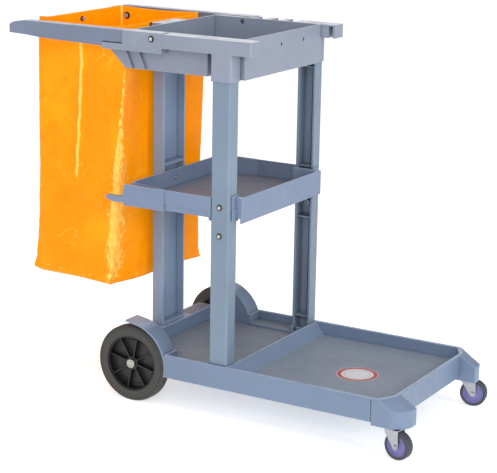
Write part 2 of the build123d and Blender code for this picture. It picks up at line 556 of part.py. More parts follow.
def bag_crossbar():
    """Bar that joins the two arms behind the bag and carries the bag's rear edge."""
    reach = ARM_OUT - 10.2
    bar = rod(CROSSBAR_R, CROSSBAR_X, CROSSBAR_Z, -reach, reach)
    return bar - rod_x(PEG_R + 0.05, 0, CROSSBAR_Z, CROSSBAR_X - 1, CROSSBAR_X + 8)


def bag_section(z, rear, front, middle, inset):
    """Level outline of the bag: the X of its two rear corners, two front corners and front middle."""
    half = BAG_HALF - inset
    middle = middle - inset
    points = [(rear[0] + inset, -half), (front[0] - inset, -half), (middle, -62), (middle, 62),
              (front[1] - inset, half), (rear[1] + inset, half)]
    return make_face(Polyline(*[(x, y, z) for x, y in points], close=True))


def bag_body(inset, floor, rim):
    """Solid between the bag's floor and its rim, a little fuller below the tray than at the rim."""
    shoulder_rear = bag_lean(BAG_REAR, -549, BAG_SHOULDER)
    low = bag_section(floor, (-558, -540), (-311, -271), -288, inset)
    shoulder = bag_section(BAG_SHOULDER, (shoulder_rear, shoulder_rear), BAG_SHOULDER_FRONT,
                           BAG_FRONT + 0.4, inset)
    top = bag_section(rim, (BAG_REAR, BAG_REAR), (BAG_FRONT, BAG_FRONT), BAG_FRONT, inset)
    return loft([low, shoulder], ruled=True) + loft([shoulder, top], ruled=True)


def waste_bag():
    """Open-topped vinyl bag: upright walls and a floor, fuller below the tray than at its rim."""
    bag = bag_body(0, BAG_FLOOR, BAG_TOP) - bag_body(BAG_WALL, BAG_FLOOR + BAG_WALL, BAG_TOP + 0.5)
    for x, y, z, along in eyelets():
        hole_r = PEG_R + 1.5
        hole = rod(hole_r, x, z, y - 8, y + 8) if along == "y" else rod_x(hole_r, y, z, x - 8, x + 8)
        bag = bag - hole
    return bag


def bag_lean(x_top, x_low, z):
    """X of a bag wall at height z, between its top rim and its floor."""
    return x_top + (x_low - x_top) * (BAG_TOP - z) / (BAG_TOP - BAG_FLOOR)


def eyelets():
    """Places where the bag hangs: x, y, z and the axis of the peg."""
    rear = (bag_lean(BAG_REAR, -549, CROSSBAR_Z) + BAG_WALL / 2, 0.0, CROSSBAR_Z, "x")
    front = [(BAG_FRONT - BAG_WALL / 2 + 0.1, s * FRONT_PEG_Y, FRONT_PEG_Z, "x") for s in (-1, 1)]
    sides = [(SIDE_PEG_X, s * (BAG_HALF - BAG_WALL / 2), SIDE_PEG_Z, "y") for s in (-1, 1)]
    return [rear] + front + sides


def bag_eyelets():
    """Metal rings set in the bag's wall."""
    rings = []
    for x, y, z, along in eyelets():
        turn = Rot(90, 0, 0) if along == "y" else Rot(0, 90, 0)
        flange_r = EYELET_R if along == "y" else SMALL_EYELET_R
        ring = Cylinder(PEG_R + 1.4, 3.6)
        for end in (-1, 1):
            ring = ring + Pos(0, 0, end * 1.75) * Cylinder(flange_r, 0.9)
        rings.append(Pos(x, y, z) * turn * (ring - Cylinder(PEG_R + 0.3, 9)))
    return Compound(children=rings)


def bag_pegs():
    """Pegs with round heads that pass through the eyelets."""
    pegs = []
    for x, y, z, along in eyelets():
        if along == "y":
            root = math.copysign(ARM_IN + 14, y)
            tip = math.copysign(BAG_HALF - 9, y)
            head = rod(PEG_HEAD_R, x, z, tip, tip + math.copysign(4, y))
            head = fillet(head.edges(), 1.2)
            pegs.append(rod(PEG_R, x, z, root, tip + math.copysign(1, y)) + head)
        else:
            root = CROSSBAR_X - 0.8 if x < -400 else UPRIGHT_REAR + 8.5
            tip = BAG_REAR + 10 if x < -400 else BAG_FRONT - 10
            head = rod_x(SMALL_PEG_HEAD_R, y, z, tip, tip + math.copysign(4, root - tip))
            head = fillet(head.edges(), 1.2)
            pegs.append(rod_x(PEG_R, y, z, *sorted((root, tip + math.copysign(1, root - tip)))) + head)
    return Compound(children=pegs)


# ---------------------------------------------------------------- rear wheels
def rear_axle():
    """Steel rod that carries both rear wheels."""
    return rod(AXLE_R, WHEEL_X, WHEEL_R, -AXLE_END, AXLE_END)


def axle_spacer():
    """Right-hand tube that keeps the wheel off the base."""
    tube = rod(11, WHEEL_X, WHEEL_R, -WHEEL_INNER + 0.6, -HOUSING_FACE - 0.3)
    return tube - rod(AXLE_R + 0.05, WHEEL_X, WHEEL_R, -HALF_WIDTH, 0)


def axle_cap():
    """Right-hand push-on cap that keeps the wheel on its axle."""
    cap = rod(12, WHEEL_X, WHEEL_R, -HALF_WIDTH + 2.2, -232.6)
    cap = fillet(cap.edges().filter_by(lambda e: abs(e.center().Y + HALF_WIDTH - 2.2) < 0.01), 2)
    face = -HALF_WIDTH + 2.2
    recess = rod(7.5, WHEEL_X, WHEEL_R, face - 1, face + 1.2) - rod(4.2, WHEEL_X, WHEEL_R, face - 2, face + 2)
    return cap - recess - rod(AXLE_R + 0.05, WHEEL_X, WHEEL_R, -AXLE_END - 0.2, 0)


def wheel_hub():
    """Right-hand wheel centre: dished disc, rim and thin radial ribs round a bearing tube."""
    inner = -WHEEL_INNER
    rim = rod(HUB_R, WHEEL_X, WHEEL_R, -234, inner) - rod(HUB_R - 4, WHEEL_X, WHEEL_R, -300, 0)
    disc = rod(HUB_R - 2, WHEEL_X, WHEEL_R, -219, -213)
    boss = rod(17, WHEEL_X, WHEEL_R, -232, inner)
    hub = rim + disc + boss
    for i in range(8):
        rib = block((14, HUB_R - 3), (-231, inner - 2), (-1.6, 1.6))
        hub = hub + Pos(WHEEL_X, 0, WHEEL_R) * Rot(0, i * 45 + 12, 0) * rib
    step = rod(HUB_R - 14, WHEEL_X, WHEEL_R, -221.5, -218) - rod(HUB_R - 17, WHEEL_X, WHEEL_R, -222, -217)
    return hub + step - rod(AXLE_R + 0.06, WHEEL_X, WHEEL_R, -300, 0)


def wheel_tyre():
    """Right-hand solid tyre with rounded shoulders and shallow tread grooves."""
    out, into = -WHEEL_FACE, -WHEEL_FACE + TYRE_WIDTH
    tyre = rod(WHEEL_R, WHEEL_X, WHEEL_R, out, into)
    tyre = fillet(tyre.edges(), 7)
    tyre = tyre - rod(HUB_R + 0.02, WHEEL_X, WHEEL_R, -300, 0)
    for y in (out + 14, (out + into) / 2, into - 14):
        groove = rod(WHEEL_R + 1, WHEEL_X, WHEEL_R, y - 1.2, y + 1.2) - rod(WHEEL_R - 2, WHEEL_X,
                                                                            WHEEL_R, -300, 0)
        tyre = tyre - groove
    side = rod(WHEEL_R - 7, WHEEL_X, WHEEL_R, out - 1, out + 1.0) - rod(WHEEL_R - 9, WHEEL_X, WHEEL_R,
                                                                        -300, 0)
    return tyre - side


# ---------------------------------------------------------------- casters
def caster_frame(side):
    """Location of a caster: local +X is its trailing direction, local origin on its swivel axis."""
    return Pos(CASTER_X, place(side) * CASTER_Y, 0) * Rot(0, 0, CASTER_SWIVEL[side])


def caster_stem(side):
    """Grip stem fixed in the pod, with a retaining collar under the swivel head."""
    stem = Pos(0, 0, (76.5 + 122) / 2) * Cylinder(5.5, 122 - 76.5)
    collar = Pos(0, 0, 79.0) * Cylinder(9.0, 2.2)
    rivet = Pos(0, 0, (CROWN_LOW - 1 + 79) / 2) * Cylinder(4.4, 79 - CROWN_LOW + 1)
    rivet_head = Pos(0, 0, CROWN_LOW - 1.3) * Cylinder(6.5, 1.8)
    return Pos(CASTER_X, place(side) * CASTER_Y, 0) * (stem + collar + rivet + rivet_head)


def caster_head(side):
    """Black swivel head that sits in the pod's recess, above the fork."""
    ring = Pos(0, 0, 78.9) * Cylinder(17.2, 6.0)
    ring = fillet(ring.edges().group_by(Axis.Z)[0], 1.2)
    ring = ring - Pos(0, 0, 79.0) * Cylinder(9.1, 2.4) - Pos(0, 0, 78) * Cylinder(5.6, 10)
    return Pos(CASTER_X, place(side) * CASTER_Y, 0) * ring


def caster_fork(side):
    """Pressed fork: a crown plate, a short neck and two tapering legs."""
    crown = block((-17, CASTER_TRAIL + 6), (-FORK_OUT, FORK_OUT), (CROWN_LOW, CROWN_TOP))
    crown = fillet(crown.edges().filter_by(Axis.Z), 6)
    legs = None
    for y in (-FORK_OUT, FORK_IN):
        leg = prism_y([(-16, CROWN_TOP - 1), (-16, CROWN_LOW - 5), (CASTER_TRAIL - 7.6, CASTER_R - 2.5),
                       (CASTER_TRAIL + 8, CASTER_R), (CASTER_TRAIL + 6,
                                                      CROWN_TOP - 1)], y, y + FORK_OUT - FORK_IN)
        leg = leg + rod(8, CASTER_TRAIL, CASTER_R, y, y + FORK_OUT - FORK_IN)
        legs = leg if legs is None else legs + leg
    fork = crown + legs - Pos(0, 0, CROWN_TOP) * Cylinder(4.46, 10)
    fork = fork - rod(3.05, CASTER_TRAIL, CASTER_R, -40, 40)
    return caster_frame(side) * fork


def caster_axle(side):
    """Axle bolt of a caster wheel with its head on the outer side."""
    y = place(side)
    bolt = rod(3.0, CASTER_TRAIL, CASTER_R, -FORK_OUT - 5.5, FORK_OUT + 5.5)
    hexagon = extrude(RegularPolygon(5.4, 6), 1.6, both=True)
    head = Pos(CASTER_TRAIL, y * (FORK_OUT + 1.9), CASTER_R) * Rot(90, 0, 0) * hexagon
    return caster_frame(side) * (bolt + head)


def caster_nut(side):
    """Nut on the axle bolt's inner end."""
    y = -place(side)
    hexagon = extrude(RegularPolygon(5.4, 6), 1.8, both=True)
    nut = Pos(CASTER_TRAIL, y * (FORK_OUT + 2.2), CASTER_R) * Rot(90, 0, 0) * hexagon
    return caster_frame(side) * (nut - rod(3.02, CASTER_TRAIL, CASTER_R, -60, 60))


def caster_bushing(side):
    """Sleeve that the wheel core turns on."""
    tube = rod(5.0, CASTER_TRAIL, CASTER_R, -FORK_IN + 0.15, FORK_IN - 0.15)
    return caster_frame(side) * (tube - rod(3.05, CASTER_TRAIL, CASTER_R, -60, 60))


def caster_core(side):
    """Moulded wheel centre with a raised ring on each face."""
    half = CASTER_WIDTH / 2
    core = rod(27.5, CASTER_TRAIL, CASTER_R, -half + 1.5, half - 1.5)
    core = core + rod(9, CASTER_TRAIL, CASTER_R, -half + 0.2, half - 0.2)
    for y in (-half, half - 3.2):
        dish = rod(20.5, CASTER_TRAIL, CASTER_R, y, y + 3.2) - rod(11, CASTER_TRAIL, CASTER_R, -60, 60)
        ring = rod(24.6, CASTER_TRAIL, CASTER_R, y + 0.4, y + 2.8) - rod(22.8, CASTER_TRAIL, CASTER_R,
                                                                         -60, 60)
        core = core - dish - ring
    return caster_frame(side) * (core - rod(5.06, CASTER_TRAIL, CASTER_R, -60, 60))


def caster_tread(side):
    """Soft tread moulded round the core."""
    half = CASTER_WIDTH / 2
    tread = rod(CASTER_R, CASTER_TRAIL, CASTER_R, -half, half)
    tread = fillet(tread.edges(), 4)
    return caster_frame(side) * (tread - rod(27.52, CASTER_TRAIL, CASTER_R, -60, 60))


# ---------------------------------------------------------------- fasteners
def screw(radius=SCREW_HEAD_R, length=16.0):
    """Screw along -Z with a washer flange, a domed head above Z = 0 and a cross recess."""
    dome_r = 0.6 * radius
    flange = Pos(0, 0, 0.7) * Cylinder(radius, 1.4)
    flange = fillet(flange.edges().group_by(Axis.Z)[-1], 0.5)
    groove = Pos(0, 0, 1.3) * (Cylinder(0.82 * radius, 1.2) - Cylinder(dome_r, 1.2))
    dome = Pos(0, 0, 1.7) * Cylinder(dome_r, 3.4)
    dome = fillet(dome.edges().group_by(Axis.Z)[-1], 1.3)
    recess = Pos(0, 0, 3.0) * (Box(1.5 * dome_r, 1.2, 1.6) + Box(1.2, 1.5 * dome_r, 1.6))
    return flange - groove + (dome - recess) + Pos(0, 0, -length / 2) * Cylinder(SCREW_SHANK_R, length)


def post_screws():
    """Screws through the outer face of each front post, into the boss and the shelf's seat."""
    group = []
    for z in POST_SCREW_Z:
        right = Pos(POST_SCREW_X, -POST_OUT - 0.05, z) * Rot(90, 0, 0) * screw()
        group += [right, mirror(right, about=Plane.XZ)]
    return Compound(children=group)


def arm_screws():
    """Screws through the tray's socket blocks into the arms' tenons."""
    right = Pos(ARM_SCREW_X, -TRAY_SKIRT - 1.25, ARM_SCREW_Z) * Rot(90, 0, 0) * screw(8.6, 24)
    return Compound(children=[right, mirror(right, about=Plane.XZ)])


def upright_screws():
    """Screw through the shelf's rear wall into the rear upright, and two up through the ledge."""
    wall = Pos(SHELF_REAR + SHELF_WALL + 0.05, 0, 552) * Rot(0, 90, 0) * screw(6.0, 24)
    middle = (UPRIGHT_FRONT + UPRIGHT_REAR) / 2
    low = [Pos(middle, y, LEDGE_TOP - 6.05) * Rot(180, 0, 0) * screw(6.0, 12) for y in (-30, 30)]
    return Compound(children=[wall] + low)


# ---------------------------------------------------------------- write the parts
save("base", base())
save("platform_label", platform_label())
save("rear_upright", rear_upright())
save("middle_shelf", middle_shelf())
save("top_tray", top_tray())
save("bag_crossbar", bag_crossbar())
save("waste_bag", waste_bag())
save("bag_eyelets", bag_eyelets())
save("bag_pegs", bag_pegs())
save("rear_axle", rear_axle())
save("post_screws", post_screws())
save("arm_screws", arm_screws())
save("upright_screws", upright_screws())
for side in ("right", "left"):
    save(f"front_post_{side}", on_side(front_post(), side))
    save(f"handle_arm_{side}", on_side(handle_arm(), side))
    save(f"axle_spacer_{side}", on_side(axle_spacer(), side))
    save(f"axle_cap_{side}", on_side(axle_cap(), side))
    save(f"wheel_hub_{side}", on_side(wheel_hub(), side))
    save(f"wheel_tyre_{side}", on_side(wheel_tyre(), side))
    save(f"caster_stem_{side}", caster_stem(side))
    save(f"caster_head_{side}", caster_head(side))
    save(f"caster_fork_{side}", caster_fork(side))
    save(f"caster_axle_{side}", caster_axle(side))
    save(f"caster_nut_{side}", caster_nut(side))
    save(f"caster_bushing_{side}", caster_bushing(side))
    save(f"caster_core_{side}", caster_core(side))
    save(f"caster_tread_{side}", caster_tread(side))
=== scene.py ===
"""Looks for the housekeeping cart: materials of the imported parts, hung bag, floor, lights and camera."""

import math

import bmesh
import bpy
from mathutils import Matrix, Vector, noise


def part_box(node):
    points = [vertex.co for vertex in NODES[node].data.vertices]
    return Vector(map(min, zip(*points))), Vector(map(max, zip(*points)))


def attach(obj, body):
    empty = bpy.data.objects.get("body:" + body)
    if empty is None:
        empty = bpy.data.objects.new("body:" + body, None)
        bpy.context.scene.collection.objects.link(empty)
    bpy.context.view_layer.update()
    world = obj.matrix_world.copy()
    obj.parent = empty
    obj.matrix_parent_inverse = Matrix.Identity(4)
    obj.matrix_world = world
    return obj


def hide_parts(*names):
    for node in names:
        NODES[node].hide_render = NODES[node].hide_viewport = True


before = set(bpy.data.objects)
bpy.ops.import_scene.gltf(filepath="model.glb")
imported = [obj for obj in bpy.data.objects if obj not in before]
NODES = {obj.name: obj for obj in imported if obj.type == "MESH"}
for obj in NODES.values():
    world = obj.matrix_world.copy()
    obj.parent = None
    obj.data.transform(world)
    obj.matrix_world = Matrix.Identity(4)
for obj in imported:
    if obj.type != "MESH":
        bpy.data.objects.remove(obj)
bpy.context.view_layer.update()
scene = bpy.context.scene


# ------------------------------------------------------------------ node helpers
class Tree:
    """Short calls that add nodes to one material."""

    def __init__(self, name):
        self.material = bpy.data.materials.new(name)
        self.material.use_nodes = True
        self.nodes = self.material.node_tree.nodes
        self.links = self.material.node_tree.links
        self.shader = self.nodes["Principled BSDF"]

    def add(self, kind, **inputs):
        node = self.nodes.new(kind)
        for key, value in inputs.items():
            self.put(node, key.replace("_", " "), value)
        return node

    def put(self, node, socket, value):
        if isinstance(value, bpy.types.NodeSocket):
            self.links.new(value, node.inputs[socket])
        else:
            node.inputs[socket].default_value = value

    def math(self, op, a, b=None):
        node = self.nodes.new("ShaderNodeMath")
        node.operation = op
        self.put(node, 0, a)
        if b is not None:
            self.put(node, 1, b)
        return node.outputs[0]

    def ramp(self, value, low, high, out_low=0.0, out_high=1.0):
        node = self.add("ShaderNodeMapRange", Value=value, From_Min=low, From_Max=high, To_Min=out_low,
                        To_Max=out_high)
        node.interpolation_type = "SMOOTHSTEP"
        return node.outputs["Result"]

    def mix(self, factor, a, b):
        node = self.nodes.new("ShaderNodeMix")
        node.data_type = "RGBA"
        self.put(node, 0, factor)
        self.put(node, 6, a)
        self.put(node, 7, b)
        return node.outputs[2]

    def place(self):
        return self.add("ShaderNodeTexCoord").outputs["Object"]

    def stretched(self, vector, scale):
        node = self.add("ShaderNodeMapping", Vector=vector)
        node.inputs["Scale"].default_value = scale
        return node.outputs["Vector"]

    def noise(self, vector, scale, detail=3.0, rough=0.5, distortion=0.0):
        node = self.add("ShaderNodeTexNoise", Vector=vector, Scale=scale, Detail=detail, Roughness=rough,
                        Distortion=distortion)
        return node.outputs["Fac"]

    def voronoi(self, vector, scale, feature="F1"):
        node = self.add("ShaderNodeTexVoronoi", Vector=vector, Scale=scale)
        node.feature = feature
        return node.outputs["Distance"]

    def xyz(self, vector):
        return self.add("ShaderNodeSeparateXYZ", Vector=vector).outputs

    def upward(self):
        """1 on a level top face, 0 on an upright one."""
        return self.xyz(self.add("ShaderNodeNewGeometry").outputs["Normal"])["Z"]

    def distance(self, a, a0, b, b0):
        """Distance from (a0, b0), where a and b are two of a point's coordinates."""
        da = self.math("SUBTRACT", a, a0)
        db = self.math("SUBTRACT", b, b0)
        squared = self.math("ADD", self.math("MULTIPLY", da, da), self.math("MULTIPLY", db, db))
        return self.math("SQRT", squared)

    def bump(self, height, distance, strength, normal=None):
        node = self.add("ShaderNodeBump", Height=height, Distance=distance, Strength=strength)
        if normal is not None:
            self.put(node, "Normal", normal)
        return node.outputs["Normal"]

    def edges(self, radius):
        """(soft normal that rounds the edges, mask that is 1 on the edges, where a painted highlight goes).
        """
        soft = self.add("ShaderNodeBevel", Radius=radius)
        soft.samples = 6
        true = self.add("ShaderNodeNewGeometry").outputs["Normal"]
        dot = self.nodes.new("ShaderNodeVectorMath")
        dot.operation = "DOT_PRODUCT"
        self.links.new(soft.outputs[0], dot.inputs[0])
        self.links.new(true, dot.inputs[1])
        return soft.outputs[0], self.ramp(dot.outputs["Value"], 1.0, 0.86)

    def hollow(self, distance):
        """Mask that is 1 in tight corners and gaps, where painted shade goes."""
        near = self.add("ShaderNodeAmbientOcclusion", Distance=distance)
        near.samples = 6
        return self.ramp(near.outputs["AO"], 0.92, 0.30)

    def finish(self, **sockets):
        for key, value in sockets.items():
            self.put(self.shader, key.replace("_", " "), value)
        return self.material


def rgb(r, g, b):
    """Linear colour from 0-255 screen values."""
    def lin(v):
        v /= 255.0
        return v / 12.92 if v <= 0.04045 else ((v + 0.055) / 1.055) ** 2.4
    return (lin(r), lin(g), lin(b), 1.0)


def shade(colour, factor):
    return tuple(min(1.0, c * factor) for c in colour[:3]) + (1.0,)


# ------------------------------------------------------------------ materials
def plastic(name, colour, floor=None, grain=0.00012, top_highlight=None, round_r=0.0016):
    """Moulded plastic: satin, mottled and finely grained, with soft edges and faint scuffs, a painted
    highlight along its edges and painted shade in its tight corners and gaps.

    floor is (colour, height): top faces below that height are pebbled. top_highlight is the same for the top
    faces above its height, which get a painted highlight.
    """
    t = Tree(name)
    at = t.place()
    soft, edge_highlight = t.edges(round_r)
    broad = t.noise(at, 5.0, 4.0, 0.55)
    base = t.mix(t.ramp(broad, 0.3, 0.7), shade(colour, 0.94), shade(colour, 1.06))
    cloud = t.noise(at, 38.0, 3.0)
    base = t.mix(t.ramp(cloud, 0.45, 0.75, 0.0, 0.35), base, shade(colour, 1.10))
    speck = t.noise(at, 900.0, 2.0)
    base = t.mix(t.ramp(speck, 0.35, 0.65, 0.0, 0.22), base, shade(colour, 0.86))
    if floor is not None:
        floor_colour, top = floor
        flat = t.math("MULTIPLY", t.ramp(t.upward(), 0.90, 0.98), t.ramp(t.xyz(at)["Z"], top, top - 0.0015))
        pebble = t.voronoi(at, 420.0)
        dark = t.mix(t.ramp(pebble, 0.2, 0.7), floor_colour, shade(floor_colour, 1.16))
        dark = t.mix(t.ramp(t.noise(at, 9.0, 5.0, 0.6), 0.42, 0.7, 0.0, 0.5), dark, shade(floor_colour, 0.88))
        base = t.mix(flat, base, dark)
    # painted highlight: level top faces above the given height are mixed towards a pale colour
    if top_highlight is not None:
        pale, rim_z = top_highlight
        rim = t.math("MULTIPLY", t.ramp(t.upward(), 0.85, 0.97), t.ramp(t.xyz(at)["Z"], rim_z - 0.002, rim_z))
        base = t.mix(t.math("MULTIPLY", rim, t.ramp(cloud, 0.25, 0.6, 0.55, 0.95)), base, pale)
    scuffs = t.noise(t.stretched(at, (14.0, 60.0, 240.0)), 2.2, 4.0, 0.62)
    scuff = t.ramp(scuffs, 0.66, 0.74, 0.0, 0.30)
    base = t.mix(scuff, base, shade(colour, 1.22))
    # painted highlight: the edges are mixed towards a lighter tone
    base = t.mix(t.math("MULTIPLY", edge_highlight, t.ramp(cloud, 0.3, 0.6, 0.45, 0.95)), base, shade(colour, 1.75))
    # painted shade: tight corners and gaps are mixed towards a dark tone
    base = t.mix(t.math("MULTIPLY", t.hollow(0.009), 0.75), base, shade(colour, 0.30))
    rough = t.math("ADD", t.ramp(cloud, 0.3, 0.7, 0.36, 0.50), t.math("MULTIPLY", scuff, 0.4))
    fine = t.noise(at, 1500.0, 2.0)
    normal = t.bump(t.noise(at, 16.0, 2.0), 0.0012, 0.5, soft)
    normal = t.bump(fine, grain, 0.8, normal)
    if floor is not None:
        normal = t.bump(t.math("MULTIPLY", pebble, flat), 0.0005, 0.7, normal)
    return t.finish(Base_Color=base, Roughness=rough, Normal=normal)


def rubber(name, colour):
    """Solid rubber: dull, with dust in the pores and a painted highlight along its edges."""
    t = Tree(name)
    at = t.place()
    soft, edge_highlight = t.edges(0.0012)
    cloud = t.noise(at, 30.0, 5.0, 0.6)
    base = t.mix(t.ramp(cloud, 0.35, 0.7), shade(colour, 0.86), shade(colour, 1.14))
    dust = t.ramp(t.noise(at, 260.0, 4.0, 0.7), 0.52, 0.70, 0.0, 0.5)
    base = t.mix(dust, base, shade(colour, 1.5))
    # painted highlight: the edges are mixed towards a lighter tone
    base = t.mix(t.math("MULTIPLY", edge_highlight, 0.35), base, shade(colour, 1.7))
    rough = t.ramp(cloud, 0.3, 0.7, 0.55, 0.78)
    normal = t.bump(t.noise(at, 1100.0, 3.0, 0.6), 0.0003, 0.7, soft)
    return t.finish(Base_Color=base, Roughness=rough, Normal=normal)


def metal(name, colour, rough_low, rough_high):
    """Plated steel: fine spangle, small tarnish spots, softened edges and a painted highlight along them."""
    t = Tree(name)
    at = t.place()
    soft, edge_highlight = t.edges(0.0007)
    spangle = t.voronoi(at, 330.0)
    cloud = t.noise(at, 120.0, 4.0, 0.6)
    base = t.mix(t.ramp(spangle, 0.1, 0.8), shade(colour, 0.85), shade(colour, 1.1))
    spots = t.ramp(t.noise(at, 480.0, 3.0, 0.7), 0.62, 0.74, 0.0, 0.6)
    base = t.mix(spots, base, shade(colour, 0.42))
    # painted highlight: the edges are mixed towards a lighter tone
    base = t.mix(t.math("MULTIPLY", edge_highlight, 0.5), base, shade(colour, 1.3))
    rough = t.math("ADD", t.ramp(cloud, 0.3, 0.7, rough_low, rough_high), t.math("MULTIPLY", spots, 0.25))
    normal = t.bump(t.noise(at, 900.0, 2.0), 0.0001, 0.6, soft)
    return t.finish(Base_Color=base, Roughness=rough, Normal=normal, Metallic=1.0)


def vinyl(name):
    """Orange-yellow vinyl: glossy, almost even in colour, with painted highlights along its folds, crinkles,
    hem and rim, painted highlights and shadows on fine crinkle lines, and a painted orange glow.
    """
    t = Tree(name)
    at = t.place()
    colour, deep, pale = rgb(232, 116, 0), rgb(212, 98, 0), rgb(242, 140, 10)
    base = t.mix(t.ramp(t.noise(at, 6.0, 4.0, 0.55), 0.38, 0.72, 0.0, 0.8), colour, pale)
    base = t.mix(t.ramp(t.noise(at, 17.0, 4.0, 0.6, 0.4), 0.50, 0.75, 0.0, 0.5), base, deep)
    fold = t.add("ShaderNodeAttribute")
    fold.attribute_name = "fold"
    crinkle = t.add("ShaderNodeAttribute")
    crinkle.attribute_name = "crinkle"
    ragged = t.noise(t.stretched(at, (1.0, 1.0, 0.55)), 120.0, 5.0, 0.65, 0.6)
    mask = t.math("ADD", crinkle.outputs["Fac"], t.ramp(ragged, 0.25, 0.75, -0.36, 0.36))
    mask = t.ramp(mask, 0.42, 0.66)
    # painted highlight: crinkled corners, the hem and the rim are mixed towards pale yellow
    base = t.mix(t.math("MULTIPLY", mask, t.ramp(ragged, 0.35, 0.7, 0.35, 0.95)), base, rgb(252, 196, 104))
    # painted highlight: the folds are mixed towards pale yellow
    fold_highlight = t.math("ADD", fold.outputs["Fac"], t.ramp(ragged, 0.3, 0.7, -0.16, 0.16))
    base = t.mix(t.ramp(fold_highlight, 0.40, 0.72, 0.0, 0.85), base, rgb(250, 190, 96))
    # painted highlight on fine crinkle lines, with painted shadow beside them
    warped = t.add("ShaderNodeTexNoise", Vector=at, Scale=7.0, Detail=2.0).outputs["Color"]
    lines = t.voronoi(t.mix(0.16, t.stretched(at, (1.0, 1.0, 0.7)), warped), 13.0, "DISTANCE_TO_EDGE")
    line = t.math("MULTIPLY", t.ramp(lines, 0.028, 0.0), t.ramp(t.noise(at, 11.0, 3.0), 0.45, 0.62))
    base = t.mix(t.math("MULTIPLY", line, 0.42), base, rgb(246, 176, 70))
    shadow = t.math("MULTIPLY", t.ramp(lines, 0.075, 0.025), t.ramp(t.noise(at, 8.0, 3.0), 0.42, 0.62))
    base = t.mix(t.math("MULTIPLY", shadow, 0.30), base, rgb(206, 92, 0))
    rough = t.ramp(t.noise(at, 60.0, 3.0), 0.3, 0.7, 0.24, 0.40)
    normal = t.bump(t.noise(at, 20.0, 4.0, 0.55, 0.6), 0.003, 0.40)
    normal = t.bump(t.math("MULTIPLY", ragged, mask), 0.0015, 0.8, normal)
    normal = t.bump(line, 0.0012, 0.6, normal)
    normal = t.bump(t.noise(at, 700.0, 2.0), 0.0001, 0.6, normal)
    t.put(t.shader, "Specular IOR Level", 0.10)
    # painted light: the vinyl glows orange, lifting its shaded sides
    return t.finish(Base_Color=base, Roughness=rough, Normal=normal, Emission_Color=(1.0, 0.43, 0.0, 1.0),
                    Emission_Strength=0.27)


def screw_metal(name, centres, radius):
    """Plated screw heads seen along Y: bright dome, a painted shadow as a dark ring round it, and a flange
    painted darker as shade.
    """
    t = Tree(name)
    at = t.place()
    xyz = t.xyz(at)
    nearest = None
    for cx, cz in centres:
        r = t.distance(xyz["X"], cx, xyz["Z"], cz)
        nearest = r if nearest is None else t.math("MINIMUM", nearest, r)
    cloud = t.noise(at, 300.0, 4.0, 0.6)
    base = t.mix(t.ramp(cloud, 0.3, 0.7), rgb(196, 196, 194), rgb(222, 222, 220))
    # painted shade: the flange is darker
    base = t.mix(t.ramp(nearest, radius * 0.86, radius * 0.90), base, rgb(104, 106, 110))
    # painted shadow: a dark ring between the dome and the flange
    inside = t.ramp(nearest, radius * 0.92, radius * 0.84)
    ring = t.math("MULTIPLY", t.ramp(nearest, radius * 0.46, radius * 0.56), inside)
    base = t.mix(ring, base, rgb(38, 38, 40))
    spots = t.ramp(t.noise(at, 900.0, 3.0, 0.7), 0.62, 0.74, 0.0, 0.5)
    base = t.mix(spots, base, rgb(96, 92, 88))
    soft = t.edges(0.0005)[0]
    normal = t.bump(t.noise(at, 1300.0, 2.0), 0.0001, 0.6, soft)
    rough = t.ramp(cloud, 0.3, 0.7, 0.30, 0.45)
    return t.finish(Base_Color=base, Roughness=rough, Normal=normal, Metallic=0.55)


def label(name, centre, radius):
    """Printed film: white disc with a red ring and a thin grey inner line, slightly scuffed."""
    t = Tree(name)
    at = t.place()
    xyz = t.xyz(at)
    share = t.math("DIVIDE", t.distance(xyz["X"], centre[0], xyz["Y"], centre[1]), radius)
    white, red, grey = rgb(205, 204, 207), rgb(176, 62, 52), rgb(150, 150, 156)
    outer = t.math("MULTIPLY", t.ramp(share, 0.77, 0.79), t.ramp(share, 0.985, 0.965))
    inner = t.math("MULTIPLY", t.ramp(share, 0.62, 0.64), t.ramp(share, 0.67, 0.65))
    base = t.mix(t.ramp(t.noise(at, 60.0, 4.0, 0.6), 0.4, 0.75, 0.0, 0.4), white, shade(white, 0.86))
    base = t.mix(inner, base, grey)
    base = t.mix(outer, base, red)
    scratches = t.ramp(t.noise(t.stretched(at, (40.0, 300.0, 1.0)), 3.0, 4.0, 0.7), 0.66, 0.72, 0.0, 0.4)
    base = t.mix(scratches, base, rgb(150, 152, 158))
    rough = t.ramp(t.noise(at, 80.0, 3.0), 0.3, 0.7, 0.28, 0.45)
    normal = t.bump(t.noise(at, 500.0, 2.0), 0.0001, 0.6)
    return t.finish(Base_Color=base, Roughness=rough, Normal=normal)


# heights above the pebbled floors and below the top faces that get a painted highlight
SHELF_FLOOR, DECK_FLOOR = 0.5305, 0.1235
TRAY_RIM, ARM_TOP, SHELF_RIM, DECK_RIM = 0.960, 0.955, 0.560, 0.140

TRAY = plastic("tray_plastic", rgb(127, 134, 151), top_highlight=(rgb(222, 225, 233), TRAY_RIM))
ARM = plastic("arm_plastic", rgb(107, 118, 139), top_highlight=(rgb(205, 210, 222), ARM_TOP))
SHELF = plastic("shelf_plastic", rgb(109, 125, 151), (rgb(126, 128, 142), SHELF_FLOOR),
                top_highlight=(rgb(178, 190, 208), SHELF_RIM))
POST = plastic("post_plastic", rgb(110, 126, 145))
